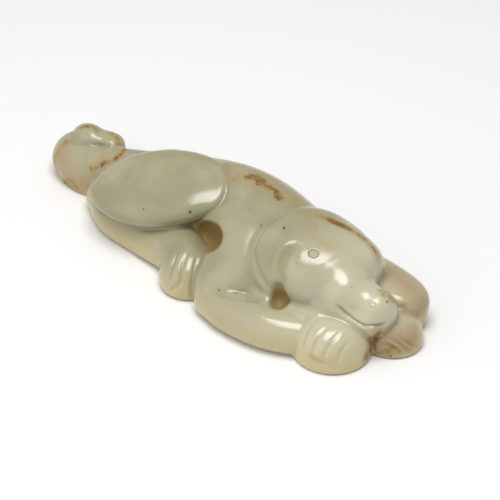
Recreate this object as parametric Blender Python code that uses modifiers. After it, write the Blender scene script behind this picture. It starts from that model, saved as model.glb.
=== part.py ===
"""A recumbent hound carved from one pebble of jade, its chin laid on crossed forepaws.

The dog is one solid. Its forms are laid out in shares of its length: x runs from the tail to the
head, y to the dog's left and z up from the flat base. Balls and limbs block it out, a fine skin is
settled on the smooth joins between them, and incised lines and two drilled pits finish it.
"""
import math

import bpy
import bmesh
import numpy as np
from mathutils import Matrix

# The driving size, in metres: the whole length from the curl of the tail to the far forepaw
LENGTH = 0.0794
# Every form below is written in shares of the length, this many to the whole
SHARES = 79.4
SHARE = LENGTH / SHARES

# The skin: spacing of its points in shares, the triangles kept, and how it is settled
SKIN_SPACING = 0.5
TRIANGLES = 9400
EASED_STEPS = 6
LAST_STEPS = 2
LONGEST_STEP = 0.5
PROBE = 0.02
EASE = 0.5
# Forms are measured no further away than this, a cut no further than this many of its widths, and a
# curve has this many points to a span
FAR = 4.0
CUT_REACH = 3
SPAN_POINTS = 6
# The ring and side counts of the blocked-out balls and limbs, and the gap at which their points merge
BALL_SIDES = 32
LIMB_BEVEL = 4
MERGE = 0.0001

# How softly one form runs into the next, in shares
SOFT = 2.0
FIRM = 1.0
CRISP = 0.7

# The polished stone
JADE_COLOUR = (0.462, 0.429, 0.295, 1.0)
JADE_ROUGHNESS = 0.22

# A limb is a line of points, each with the radius there
SPINE = [(-26, 2.4, 3.6, 3.6), (-21, 4.2, 4.8, 4.4), (-15.5, 5.8, 6.0, 4.8), (-10, 7.0, 7.4, 4.9),
         (-4, 7.0, 8.7, 5.3), (2.5, 6.0, 9.3, 6.0), (9, 4.4, 9.0, 6.6), (16, 3.6, 8.0, 6.0)]
BELLY = [(-24, 2.4, 3.4, 4.2), (-16, 4.4, 4.4, 5.0), (-6, 5.4, 5.0, 5.6), (5, 5.0, 5.4, 6.4),
         (18, 4.0, 5.0, 6.0)]
WAIST = [(-9, 3.2, 6.2, 4.6), (-3, 2.2, 6.0, 5.0), (3, 0.2, 6.6, 5.6)]
SHANK = [(-25.6, -2.4, 2.4, 3.8), (-20.4, -4.9, 2.2, 3.8), (-13.8, -5.5, 2.2, 3.5), (-7, -5.8, 2.6, 3.4)]
INSTEP = [(-9.5, -2.0, 2.6, 4.0), (-5.0, -4.4, 2.8, 4.0), (-1.5, -6.8, 2.4, 4.4)]
FOREARM = [(6.9, -9.4, 2.4, 3.6), (12, -10.2, 2.6, 3.5), (19, -9.1, 2.6, 3.4), (26, -5.0, 2.4, 3.3)]
FAR_FOREARM = [(9, 7.6, 4.4, 4.4), (14, 8.8, 3.8, 4.2), (19, 9.2, 3.4, 4.0)]
EAR_REST = [(11.5, -5.0, 4.4, 3.0), (17.0, -6.0, 3.7, 2.8), (24.5, -3.5, 4.4, 2.8)]
MUZZLE = [(21.5, 2.3, 8.6, 5.4), (24.5, 2.0, 7.9, 4.9), (27.0, 1.9, 7.3, 4.3), (29.2, 1.8, 7.1, 3.7),
          (31.0, 1.7, 7.1, 3.2)]
JAW = [(23.5, -0.6, 6.0, 4.2), (28, 0.0, 6.0, 3.2), (31.4, 0.7, 6.0, 2.7)]
EAR = [(12.8, 2.4, 11.2, 4.0), (11.8, -1.2, 10.2, 3.5), (12.6, -3.4, 8.2, 3.1), (14.8, -4.4, 6.4, 2.4),
       (16.2, -4.8, 5.2, 1.5)]
FAR_EAR = [(14.0, 6.6, 11.2, 2.6), (18.5, 8.6, 10.0, 2.6), (23.0, 9.0, 8.6, 2.4), (25.4, 9.0, 6.4, 1.5)]
TAIL = [(-22, 3.4, 6.8, 3.2), (-27.5, 1.8, 5.3, 3.4), (-32.5, 0.3, 3.6, 3.7), (-37.3, 0.3, 3.0, 3.5),
        (-38.8, 2.4, 3.4, 3.2), (-36.8, 5.0, 4.0, 2.8), (-33.6, 5.4, 5.0, 2.3)]
UNDER_HAUNCH = [(-24, -0.8, 3.6, 3.6), (-15, -2.4, 4.2, 4.0), (-8, -2.8, 4.0, 3.8)]
FLANK_PIT = [(1.4, -5.4, 10.5, 2.6), (0.5, -4.0, 8.0, 2.6), (-1.0, -2.7, 6.3, 2.4)]
EAR_PIT = [(17.9, -6.2, 6.6, 1.4), (18.0, -5.4, 5.2, 1.3), (18.1, -5.0, 4.2, 1.1)]


def ball(centre, radii, yaw=0.0, pitch=0.0, roll=0.0, edge=2.0, plan=2.0):
    """A rounded mass: edge and plan over 2 square its rim and its outline."""
    turn = Matrix.Rotation(math.radians(yaw), 3, "Z")
    turn @= Matrix.Rotation(math.radians(-pitch), 3, "Y")
    turn @= Matrix.Rotation(math.radians(roll), 3, "X")
    return {"centre": centre, "radii": radii, "turn": turn, "edge": edge, "plan": plan}


# A ball is a centre, its half sizes along its own axes, and how it is turned
HAUNCH = ball((-14.0, -1.2, 9.2), (12.9, 7.4, 4.2), yaw=28, pitch=9, roll=15, edge=2.6, plan=2.2)
FAR_HAUNCH = ball((-15.5, 7.4, 4.4), (10.0, 4.4, 4.8), yaw=-8, edge=2.3)
HIND_PAW = ball((-1.1, -7.5, 1.9), (5.0, 5.0, 4.4), edge=2.2)
LOIN = ball((-10.0, 1.6, 0.6), (17.0, 6.6, 3.4), edge=2.2)
SHOULDER = ball((6.8, -1.4, 6.0), (7.4, 9.2, 6.5), yaw=18, roll=34, edge=2.2)
ELBOW = ball((7.0, -7.2, 3.0), (5.3, 4.7, 4.6), yaw=25, edge=2.2)
FAR_WRIST = ball((25.4, 9.5, 3.3), (9.3, 4.8, 4.3), yaw=-3, roll=-6, edge=3.4, plan=2.8)
CHEST = ball((15.0, -3.0, 1.6), (8.0, 6.5, 3.2), edge=2.2)
THROAT = ball((23.5, 3.0, 2.6), (9.0, 7.5, 4.6), edge=2.2)
NEAR_PAW = ball((27.2, -3.9, 1.0), (6.5, 6.3, 5.6), edge=2.3)
FAR_PAW = ball((31.5, 4.7, 0.8), (6.0, 5.2, 4.4), edge=2.2)
SKULL = ball((17.9, 2.7, 8.8), (9.8, 8.4, 6.6), yaw=10, pitch=-10, roll=12, edge=2.5, plan=2.25)
FAR_BROW = ball((23.3, 6.4, 9.3), (4.6, 3.9, 4.6), yaw=20, pitch=-10, edge=2.2)
BROW = ball((20.2, -0.4, 9.4), (5.2, 4.8, 4.7), pitch=-10, roll=25)
NOSE = ball((30.6, 1.6, 7.6), (3.0, 3.0, 2.7), pitch=-20)
TAIL_FOOT = ball((-34.3, 1.4, 0.6), (6.5, 4.7, 3.6), yaw=-8, edge=2.4)
TAIL_TIP = ball((-37.2, 3.6, 5.6), (3.5, 2.4, 2.6))

BALLS = [HAUNCH, FAR_HAUNCH, LOIN, HIND_PAW, SHOULDER, ELBOW, FAR_WRIST, CHEST, THROAT, NEAR_PAW, FAR_PAW,
         SKULL, FAR_BROW, BROW, NOSE, TAIL_FOOT, TAIL_TIP]
LIMBS = [SPINE, BELLY, WAIST, UNDER_HAUNCH, SHANK, INSTEP, FOREARM, FAR_FOREARM, EAR_REST, MUZZLE, JAW, EAR,
         FAR_EAR, TAIL]
PITS = [FLANK_PIT, EAR_PIT]

# Incised lines, each followed by its width and depth
MOUTH = [(26.7, -2.9, 8.6), (29.0, -2.6, 7.6), (31.0, -2.2, 6.9), (32.6, -1.6, 6.7), (33.8, -0.5, 6.8),
         (34.4, 1.3, 6.9)]
MOUTH_CUT = (0.65, 1.1)
EAR_FRONT = [(16.3, -1.7, 14.8), (15.4, -3.9, 13.5), (16.0, -5.5, 11.4), (17.0, -5.3, 7.4)]
EAR_FRONT_CUT = (0.8, 0.9)
EAR_BACK = [(11.5, 3.3, 15.6), (10.0, -1.1, 14.0), (11.2, -5.1, 11.4), (14.6, -6.4, 8.9), (16.3, -6.4, 7.4)]
EAR_BACK_CUT = (0.6, 0.5)
FOREARM_EDGE = [(8.7, -11.6, 5.6), (12.0, -11.4, 5.8), (15.2, -10.1, 6.1), (16.7, -6.8, 6.1)]
FOREARM_CUT = (0.6, 0.45)
HAUNCH_EDGE = [(-20.5, -9.6, 6.3), (-16.5, -10.1, 7.1), (-12.0, -8.6, 7.2), (-8.2, -6.6, 7.5), (-4.5, -3.8, 8.6)]
HAUNCH_CUT = (0.7, 0.7)
TAIL_FOLD = [(-38.8, 0.1, 6.3), (-34.8, 1.6, 6.6), (-32.0, 4.5, 6.4)]
TAIL_CUT = (0.6, 0.5)
TOE_CUT = (0.6, 0.95)
# Each paw has three cuts between its four toes: the way it points and the fan of the cuts, in degrees
TOE_CUTS = 3
PAWS = [(HIND_PAW, -98, 26), (NEAR_PAW, -78, 22), (FAR_PAW, 10, 26)]
TOE_TOP = 62
TOE_FOOT = 2
TOE_POINTS = 6
BASE_ROUND = 0.7
# Points this close to the ground are brought down flat onto it
BASE_FLAT = 0.05


def smooth_line(rows):
    """Points of a smooth curve through the rows, whose further columns are eased with it."""
    rows = np.asarray(rows, float)
    ends = np.vstack([2 * rows[0] - rows[1], rows, 2 * rows[-1] - rows[-2]])
    points = []
    for start in range(len(rows) - 1):
        before, here, there, after = ends[start:start + 4]
        for t in np.arange(SPAN_POINTS) / SPAN_POINTS:
            bend = (2 * before - 5 * here + 4 * there - after) * t * t
            twist = (3 * here - before - 3 * there + after) * t ** 3
            points.append(0.5 * (2 * here + (there - before) * t + bend + twist))
    points.append(rows[-1])
    return np.array(points)


def near_box(p, points, reach):
    """Which of the places p lie within reach of a line's box."""
    low = points[:, :3].min(0) - reach
    high = points[:, :3].max(0) + reach
    return ((p > low) & (p < high)).all(1)


def to_ball(p, form):
    """How far each place is outside a ball."""
    q = (p - np.array(form["centre"])) @ np.array(form["turn"])
    share = np.abs(q / np.array(form["radii"])) + 1e-9
    plan, edge = form["plan"], form["edge"]
    around = (share[:, 0] ** plan + share[:, 1] ** plan) ** (1 / plan)
    whole = (around ** edge + share[:, 2] ** edge) ** (1 / edge)
    side = (around / whole) ** (edge - 1)
    slope = np.stack([side * (share[:, 0] / around) ** (plan - 1),
                      side * (share[:, 1] / around) ** (plan - 1),
                      (share[:, 2] / whole) ** (edge - 1)], 1) / np.array(form["radii"])
    return (whole - 1) / np.maximum(np.linalg.norm(slope, axis=1), 1e-6)


def to_limb(p, rows):
    """How far each place is outside a limb, and FAR where it is further than that."""
    points = smooth_line(rows)
    result = np.full(len(p), FAR)
    close = near_box(p, points, points[:, 3].max() + FAR)
    q = p[close]
    best = np.full(len(q), FAR)
    for start, end in zip(points[:-1], points[1:]):
        along = end[:3] - start[:3]
        t = np.clip((q - start[:3]) @ along / (along @ along), 0, 1)
        gap = np.linalg.norm(q - start[:3] - t[:, None] * along, axis=1)
        best = np.minimum(best, gap - start[3] - (end[3] - start[3]) * t)
    result[close] = best
    return result


def to_line(p, rows, width, depth):
    """How deep an incised line has been cut at each place."""
    points = smooth_line(rows)
    result = np.zeros(len(p))
    close = near_box(p, points, CUT_REACH * width)
    q = p[close]
    best = np.full(len(q), FAR)
    for start, end in zip(points[:-1], points[1:]):
        along = end - start
        t = np.clip((q - start) @ along / (along @ along), 0, 1)
        best = np.minimum(best, np.linalg.norm(q - start - t[:, None] * along, axis=1))
    result[close] = depth * np.exp(-(best / width) ** 2)
    return result


def join(a, b, soft):
    """Two forms run together with a hollow of the softness between them."""
    mix = np.clip(0.5 + 0.5 * (b - a) / soft, 0, 1)
    return b + (a - b) * mix - soft * mix * (1 - mix)


def toe_lines(paw, heading, fan):
    """The cuts between the toes, laid over a paw from its knuckles to the ground."""
    lines = []
    for number in range(TOE_CUTS):
        way = math.radians(heading + fan * (number - (TOE_CUTS - 1) / 2))
        rise = np.radians(np.linspace(TOE_TOP, TOE_FOOT, TOE_POINTS))
        reach = np.stack([np.cos(rise) * math.cos(way), np.cos(rise) * math.sin(way), np.sin(rise)], 1)
        lines.append(np.array(paw["centre"]) + reach * np.array(paw["radii"]))
    return lines


def head(p):
    """The skull, brows, muzzle, jaw and ears, with the mouth and the ear's edge cut in."""
    d = join(to_ball(p, SKULL), to_ball(p, BROW), SOFT)
    d = join(d, to_ball(p, FAR_BROW), FIRM)
    d = join(d, to_limb(p, MUZZLE), SOFT)
    d = join(d, to_ball(p, NOSE), SOFT)
    d = join(d, to_limb(p, JAW), CRISP)
    d = join(d, to_limb(p, EAR), SOFT)
    d = join(d, to_limb(p, FAR_EAR), CRISP)
    return d + to_line(p, EAR_FRONT, *EAR_FRONT_CUT) + to_line(p, MOUTH, *MOUTH_CUT)


def hind_leg(p):
    """The shank, the instep and the paw of the near hind leg."""
    leg = join(to_limb(p, SHANK), to_limb(p, INSTEP), SOFT)
    return join(leg, to_ball(p, HIND_PAW), FIRM)


def tail(p):
    """The tail with its thick foot and its curled tip."""
    d = join(to_limb(p, TAIL), to_ball(p, TAIL_FOOT), FIRM)
    return join(d, to_ball(p, TAIL_TIP), CRISP)


def carving(p):
    """How far each place is outside the finished carving; below zero is stone."""
    d = join(to_limb(p, BELLY), to_limb(p, SPINE), SOFT)
    d = join(d, to_limb(p, WAIST), SOFT)
    d = join(d, to_ball(p, FAR_HAUNCH), FIRM)
    d = join(d, join(to_ball(p, LOIN), to_limb(p, UNDER_HAUNCH), FIRM), FIRM)
    d = join(d, to_ball(p, SHOULDER), SOFT)
    d = join(d, hind_leg(p), CRISP)
    d = join(d, join(to_ball(p, ELBOW), to_ball(p, SHOULDER), SOFT), CRISP)
    d = join(d, to_limb(p, FOREARM), CRISP)
    d = join(d, to_ball(p, HAUNCH), CRISP)
    d = join(d, join(to_limb(p, FAR_FOREARM), to_ball(p, FAR_WRIST), FIRM), FIRM)
    d = join(d, to_limb(p, EAR_REST), FIRM)
    d = join(d, join(to_ball(p, THROAT), to_ball(p, CHEST), FIRM), FIRM)
    d = join(d, to_ball(p, FAR_PAW), CRISP)
    d = join(d, to_ball(p, NEAR_PAW), CRISP)
    d = join(d, head(p), CRISP)
    d = join(d, tail(p), FIRM)
    for paw, heading, fan in PAWS:
        for line in toe_lines(paw, heading, fan):
            d = d + to_line(p, line, *TOE_CUT)
    d = d + to_line(p, FOREARM_EDGE, *FOREARM_CUT) + to_line(p, EAR_BACK, *EAR_BACK_CUT)
    d = d + to_line(p, HAUNCH_EDGE, *HAUNCH_CUT) + to_line(p, TAIL_FOLD, *TAIL_CUT)
    for pit in PITS:
        d = -join(-d, to_limb(p, pit), CRISP)
    return -join(-d, p[:, 2], BASE_ROUND)


def clear_scene():
    """Start from an empty scene."""
    for old in list(bpy.data.objects):
        bpy.data.objects.remove(old)


def collection(name):
    """A collection of the scene."""
    made = bpy.data.collections.new(name)
    bpy.context.scene.collection.children.link(made)
    return made


def add_object(name, mesh, home):
    """A new object of a mesh in a collection."""
    made = bpy.data.objects.new(name, mesh)
    home.objects.link(made)
    return made


def evaluated_mesh(source):
    """The mesh of an object with its modifiers, or of a curve with its bevel."""
    bpy.context.view_layer.update()
    return bpy.data.meshes.new_from_object(source.evaluated_get(bpy.context.evaluated_depsgraph_get()))


def limb_mesh(rows, home):
    """A tapered round limb as a closed mesh, swept along its curve with a ball at each end."""
    points = smooth_line(rows)
    curve = bpy.data.curves.new("limb", "CURVE")
    curve.dimensions = "3D"
    curve.bevel_depth = 1.0
    curve.bevel_resolution = LIMB_BEVEL
    curve.use_fill_caps = True
    spline = curve.splines.new("POLY")
    spline.points.add(len(points) - 1)
    for knot, (x, y, z, radius) in zip(spline.points, points):
        knot.co = (x, y, z, 1.0)
        knot.radius = radius
    swept = add_object("limb", curve, home)
    mesh = evaluated_mesh(swept)
    bpy.data.objects.remove(swept)
    shape = bmesh.new()
    shape.from_mesh(mesh)
    bmesh.ops.remove_doubles(shape, verts=shape.verts, dist=MERGE)
    for x, y, z, radius in (points[0], points[-1]):
        bmesh.ops.create_uvsphere(shape, u_segments=BALL_SIDES, v_segments=BALL_SIDES // 2, radius=radius,
                                  matrix=Matrix.Translation((x, y, z)))
    shape.to_mesh(mesh)
    shape.free()
    return mesh


def squareness(way, edge, plan):
    """How far out of a unit ball of this edge and plan a point of the round one is."""
    around = (abs(way.x) ** plan + abs(way.y) ** plan) ** (1 / plan)
    return (around ** edge + abs(way.z) ** edge) ** (1 / edge)


def block_out(home):
    """Every ball and limb of the dog in one mesh, still separate shells that cross each other."""
    shape = bmesh.new()
    for form in BALLS:
        made = bmesh.ops.create_uvsphere(shape, u_segments=BALL_SIDES, v_segments=BALL_SIDES // 2, radius=1.0)
        for vert in made["verts"]:
            vert.co /= squareness(vert.co, form["edge"], form["plan"])
        place = Matrix.Translation(form["centre"]) @ form["turn"].to_4x4()
        place @= Matrix.Diagonal((*form["radii"], 1.0))
        bmesh.ops.transform(shape, matrix=place, verts=made["verts"])
    for rows in LIMBS:
        mesh = limb_mesh(rows, home)
        shape.from_mesh(mesh)
        bpy.data.meshes.remove(mesh)
    blocked = bpy.data.meshes.new("jade_dog_carving")
    shape.to_mesh(blocked)
    shape.free()
    return add_object("jade_dog_carving", blocked, home)


def cutter(name, mesh, home):
    """A tool that is only there to cut."""
    made = add_object(name, mesh, home)
    made.display_type = "WIRE"
    made.hide_render = True
    return made


def drill(name, rows, home):
    """A drill with rounded ends that sinks one pit."""
    shape = bmesh.new()
    for x, y, z, radius in rows:
        bmesh.ops.create_uvsphere(shape, u_segments=BALL_SIDES, v_segments=BALL_SIDES // 2, radius=radius,
                                  matrix=Matrix.Translation((x, y, z)))
    hull = bmesh.ops.convex_hull(shape, input=shape.verts)
    bmesh.ops.delete(shape, geom=list(set(hull["geom_interior"])), context="VERTS")
    mesh = bpy.data.meshes.new(name)
    shape.to_mesh(mesh)
    shape.free()
    return cutter(name, mesh, home)


def ground_block(home):
    """The block below the base, which leaves the underside flat."""
    shape = bmesh.new()
    bmesh.ops.create_cube(shape, size=2 * SHARES, matrix=Matrix.Translation((0, 0, -SHARES)))
    mesh = bpy.data.meshes.new("ground_cut")
    shape.to_mesh(mesh)
    shape.free()
    return cutter("ground_cut", mesh, home)


def merge_shells(dog):
    """One even skin over whatever shells the object holds."""
    remesh = dog.modifiers.new("skin", "REMESH")
    remesh.mode = "VOXEL"
    remesh.voxel_size = SKIN_SPACING
    remesh.adaptivity = 0.0


def cut_with(dog, tool):
    """Take one tool's shape out of the stone."""
    cut = dog.modifiers.new(tool.name, "BOOLEAN")
    cut.operation = "DIFFERENCE"
    cut.solver = "EXACT"
    cut.object = tool


def apply_modifiers(dog):
    """Keep what the modifiers make and remove them."""
    mesh = evaluated_mesh(dog)
    old = dog.data
    dog.modifiers.clear()
    dog.data = mesh
    bpy.data.meshes.remove(old)


def positions(mesh):
    """A mesh's points as rows."""
    flat = np.empty(3 * len(mesh.vertices))
    mesh.vertices.foreach_get("co", flat)
    return flat.reshape(-1, 3)


def settle(points):
    """One move of each point down or up the slope of the carving's distance, to its surface."""
    here = carving(points)
    slope = np.stack([(carving(points + PROBE * way) - here) / PROBE for way in np.eye(3)], 1)
    steep = np.maximum((slope * slope).sum(1), EASE)
    step = np.clip(here / steep, -LONGEST_STEP, LONGEST_STEP)
    return points - step[:, None] * slope


def ease_skin(mesh):
    """Even out the spacing of the skin's points."""
    shape = bmesh.new()
    shape.from_mesh(mesh)
    bmesh.ops.smooth_vert(shape, verts=shape.verts, factor=EASE, use_axis_x=True, use_axis_y=True, use_axis_z=True)
    shape.to_mesh(mesh)
    shape.free()


def place_points(mesh, points):
    """Write the points back to a mesh."""
    mesh.vertices.foreach_set("co", points.astype(np.float32).ravel())
    mesh.update()


def stand_at_origin(mesh):
    """Bring the middle of the base to the origin and turn shares into metres."""
    points = positions(mesh)
    low, high = points.min(0), points.max(0)
    points -= np.array([(low[0] + high[0]) / 2, (low[1] + high[1]) / 2, low[2]])
    points[points[:, 2] < BASE_FLAT, 2] = 0.0
    place_points(mesh, points * SHARE)


def thin_out(dog):
    """Keep only as many triangles as the forms need."""
    thin = dog.modifiers.new("facets", "DECIMATE")
    thin.decimate_type = "COLLAPSE"
    thin.use_collapse_triangulate = True
    whole = sum(len(face.vertices) - 2 for face in dog.data.polygons)
    thin.ratio = TRIANGLES / whole


def jade():
    """Polished grey-green nephrite."""
    made = bpy.data.materials.new("polished_jade")
    made.use_nodes = True
    shader = made.node_tree.nodes["Principled BSDF"]
    shader.inputs["Base Color"].default_value = JADE_COLOUR
    shader.inputs["Roughness"].default_value = JADE_ROUGHNESS
    shader.inputs["Metallic"].default_value = 0.0
    return made


def build():
    """Carve the dog."""
    clear_scene()
    home = collection("jade_dog_carving")
    tools = collection("cutters")
    dog = block_out(home)
    merge_shells(dog)
    for number, rows in enumerate(PITS):
        cut_with(dog, drill(f"pit_drill_{number}", rows, tools))
    cut_with(dog, ground_block(tools))
    merge_shells(dog)
    apply_modifiers(dog)
    for step in range(EASED_STEPS + LAST_STEPS):
        if step < EASED_STEPS:
            ease_skin(dog.data)
        place_points(dog.data, settle(positions(dog.data)))
    stand_at_origin(dog.data)
    dog.data.shade_smooth()
    dog.data.materials.append(jade())
    thin_out(dog)
    for tool in list(tools.objects):
        bpy.data.objects.remove(tool)
    return dog


build()
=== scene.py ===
# %% [markdown]
# # A jade hound, in cells
#
# The object is a palm-sized dog carved from one pebble of nephrite: pale celadon stone with russet
# skin left on the back, the brow and the tail. It lies with its chin on its crossed forepaws. This
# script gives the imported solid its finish: a fine polished skin, the incised lines, the colours.

# %% The frame and its box
import math

import bmesh
import bpy
import numpy as np
from mathutils import Matrix, Vector
from mathutils.bvhtree import BVHTree
from mathutils.kdtree import KDTree


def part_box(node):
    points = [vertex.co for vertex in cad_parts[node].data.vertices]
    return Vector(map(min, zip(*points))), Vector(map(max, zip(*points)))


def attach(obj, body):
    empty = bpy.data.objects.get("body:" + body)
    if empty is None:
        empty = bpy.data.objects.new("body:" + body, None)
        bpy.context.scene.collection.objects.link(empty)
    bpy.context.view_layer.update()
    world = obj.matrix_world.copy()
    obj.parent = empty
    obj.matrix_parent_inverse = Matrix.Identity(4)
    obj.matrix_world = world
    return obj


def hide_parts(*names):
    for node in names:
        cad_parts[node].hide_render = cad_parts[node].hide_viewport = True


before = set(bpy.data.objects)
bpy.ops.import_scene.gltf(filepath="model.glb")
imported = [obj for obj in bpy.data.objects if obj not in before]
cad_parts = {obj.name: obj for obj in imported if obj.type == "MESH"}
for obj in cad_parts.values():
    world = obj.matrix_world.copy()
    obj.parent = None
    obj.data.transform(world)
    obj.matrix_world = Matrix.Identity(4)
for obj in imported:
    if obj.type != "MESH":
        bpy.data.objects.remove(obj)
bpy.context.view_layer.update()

NODE = "jade_dog_carving"
MM = 0.001
low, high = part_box(NODE)
print("solid, mm:", [round(side / MM, 1) for side in high - low])

# %% [markdown]
# Every part of the dog is set out in millimetres on the carver's own layout, whose zero is under
# the loin. The solid's zero is the middle of its base, so the layout is moved by that much. The
# camera stands where the photograph was taken from: off the dog's right shoulder, looking down.

# %% Layout and viewpoint
LAYOUT_MIDDLE = np.array([-2.35, 0.40, 0.0])
PIXELS = 500
PIXELS_PER_MM = 6.09
LAYOUT_ZERO_PIXEL = (227.0, 267.0)
CAMERA_AWAY = 500.0
CAMERA_AZIMUTH, CAMERA_ELEVATION = math.radians(44.6), math.radians(37.0)

view_right = np.array([math.cos(CAMERA_AZIMUTH), math.sin(CAMERA_AZIMUTH), 0.0])
view_back = np.array([math.sin(CAMERA_AZIMUTH) * math.cos(CAMERA_ELEVATION),
                      -math.cos(CAMERA_AZIMUTH) * math.cos(CAMERA_ELEVATION),
                      math.sin(CAMERA_ELEVATION)])
view_up = np.cross(view_back, view_right)
aim = (view_right * (PIXELS / 2 - LAYOUT_ZERO_PIXEL[0])
       + view_up * (LAYOUT_ZERO_PIXEL[1] - PIXELS / 2)) / PIXELS_PER_MM
eye_point = aim + view_back * CAMERA_AWAY


def sight_line(pixel):
    """The direction from the camera through a pixel of the photograph."""
    across = (pixel[0] - PIXELS / 2) / (PIXELS_PER_MM * CAMERA_AWAY)
    down = (pixel[1] - PIXELS / 2) / (PIXELS_PER_MM * CAMERA_AWAY)
    way = view_right * across - view_up * down - view_back
    return way / np.linalg.norm(way)


print("camera, mm on the layout:", eye_point.round(1))

# %% [markdown]
# ## The forms
#
# A lapidary works a pebble down into a few rounded masses and lets them run into each other. The
# same can be done with distances: each mass says how far any place is from its surface, and a
# smooth minimum joins two masses with a hollow as soft as wanted. A skin is then settled onto the
# place where the whole distance is zero. This gives one closed surface with real creases, which a
# pile of overlapping meshes can't.

# %% Balls, limbs and how they join
FAR = 4.0
BALL_REACH = 1.35
SPAN_POINTS = 6
TINY = 1e-9
LEAST_SLOPE = 1e-6


def ball(centre, radii, yaw=0.0, pitch=0.0, roll=0.0, edge=2.0, plan=2.0):
    """A rounded mass: edge and plan over 2 square its rim and its outline."""
    turn = Matrix.Rotation(math.radians(yaw), 3, "Z") @ Matrix.Rotation(math.radians(-pitch), 3, "Y")
    turn @= Matrix.Rotation(math.radians(roll), 3, "X")
    return {"centre": np.array(centre), "radii": np.array(radii), "turn": np.array(turn),
            "edge": edge, "plan": plan}


def smooth_line(rows):
    """Points of a smooth curve through the rows, whose further columns are eased with it."""
    rows = np.asarray(rows, float)
    ends = np.vstack([2 * rows[0] - rows[1], rows, 2 * rows[-1] - rows[-2]])
    points = []
    for start in range(len(rows) - 1):
        before, here, there, after = ends[start:start + 4]
        for t in np.arange(SPAN_POINTS) / SPAN_POINTS:
            bend = (2 * before - 5 * here + 4 * there - after) * t * t
            twist = (3 * here - before - 3 * there + after) * t ** 3
            points.append(0.5 * (2 * here + (there - before) * t + bend + twist))
    points.append(rows[-1])
    return np.array(points)


def to_ball(p, form):
    """How far each place is outside a ball, and FAR where it is further than that."""
    result = np.full(len(p), FAR)
    q = p - form["centre"]
    close = np.linalg.norm(q, axis=1) < BALL_REACH * form["radii"].max() + FAR
    share = np.abs((q[close] @ form["turn"]) / form["radii"]) + TINY
    plan, edge = form["plan"], form["edge"]
    around = (share[:, 0] ** plan + share[:, 1] ** plan) ** (1 / plan)
    whole = (around ** edge + share[:, 2] ** edge) ** (1 / edge)
    side = (around / whole) ** (edge - 1)
    slope = np.stack([side * (share[:, 0] / around) ** (plan - 1),
                      side * (share[:, 1] / around) ** (plan - 1),
                      (share[:, 2] / whole) ** (edge - 1)], 1) / form["radii"]
    steep = np.maximum(np.linalg.norm(slope, axis=1), LEAST_SLOPE)
    result[close] = np.minimum((whole - 1) / steep, FAR)
    return result


def to_limb(p, rows):
    """How far each place is outside a limb, and FAR where it is further than that."""
    points = smooth_line(rows)
    reach = points[:, 3].max() + FAR
    close = ((p > points[:, :3].min(0) - reach) & (p < points[:, :3].max(0) + reach)).all(1)
    q = p[close]
    best = np.full(len(q), FAR)
    for start, end in zip(points[:-1], points[1:]):
        along = end[:3] - start[:3]
        t = np.clip((q - start[:3]) @ along / (along @ along), 0, 1)
        gap = np.linalg.norm(q - start[:3] - t[:, None] * along, axis=1)
        best = np.minimum(best, gap - start[3] - (end[3] - start[3]) * t)
    result = np.full(len(p), FAR)
    result[close] = best
    return result


def join(a, b, soft):
    """Two forms run together with a hollow of the softness between them."""
    mix = np.clip(0.5 + 0.5 * (b - a) / soft, 0, 1)
    return b + (a - b) * mix - soft * mix * (1 - mix)


SOFT, FIRM, CRISP = 2.0, 1.0, 0.5
print("a place 0.5 mm from two soft forms is", join(0.5, 0.5, SOFT), "mm from the joined one")

# %% [markdown]
# The trunk is a long soft ridge, low at the tail and highest over the shoulders. The near haunch is
# the largest single form: a flat oval disc leaning on the flank, with a clean rim all round. Each
# row of a limb gives a place and a radius.

# %% Trunk and haunches
SPINE = [(-26, 2.4, 3.6, 3.6), (-21, 4.2, 4.8, 4.4), (-15.5, 5.8, 6.0, 4.8), (-10, 7.0, 7.4, 4.9),
         (-4, 7.0, 8.7, 5.3), (2.5, 6.0, 9.3, 6.0), (9, 4.4, 9.0, 6.6), (16, 3.6, 8.0, 6.0)]
BELLY = [(-24, 2.4, 3.4, 4.2), (-16, 4.4, 4.4, 5.0), (-6, 5.4, 5.0, 5.6), (5, 5.0, 5.4, 6.4),
         (18, 4.0, 5.0, 6.0)]
WAIST = [(-9, 3.2, 6.2, 4.6), (-3, 2.2, 6.0, 5.0), (3, 0.2, 6.6, 5.6)]
UNDER_HAUNCH = [(-24, -0.8, 3.6, 3.6), (-15, -2.4, 4.2, 4.0), (-8, -2.8, 4.0, 3.8)]
LOIN = ball((-10.0, 1.6, 0.6), (17.0, 6.6, 3.4), edge=2.2)
HAUNCH = ball((-13.9, -1.2, 9.5), (12.5, 8.1, 3.2), yaw=25, pitch=12, roll=13, edge=2.25)
FAR_HAUNCH = ball((-15.5, 7.4, 4.4), (10.0, 4.4, 4.8), yaw=-8, edge=2.3)


def trunk(p):
    """Spine, belly, waist and the far haunch, with the flat stone under the loin."""
    d = join(to_limb(p, BELLY), to_limb(p, SPINE), SOFT)
    d = join(d, to_limb(p, WAIST), SOFT)
    d = join(d, to_ball(p, FAR_HAUNCH), FIRM)
    return join(d, join(to_ball(p, LOIN), to_limb(p, UNDER_HAUNCH), FIRM), FIRM)


print("haunch disc, mm across:", 2 * HAUNCH["radii"][:2])

# %% [markdown]
# The legs are folded alongside. The near forearm runs under the cheek to a paw as round as a
# ball, the far one reaches past it, and its paw lies across, under the chin.

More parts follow.
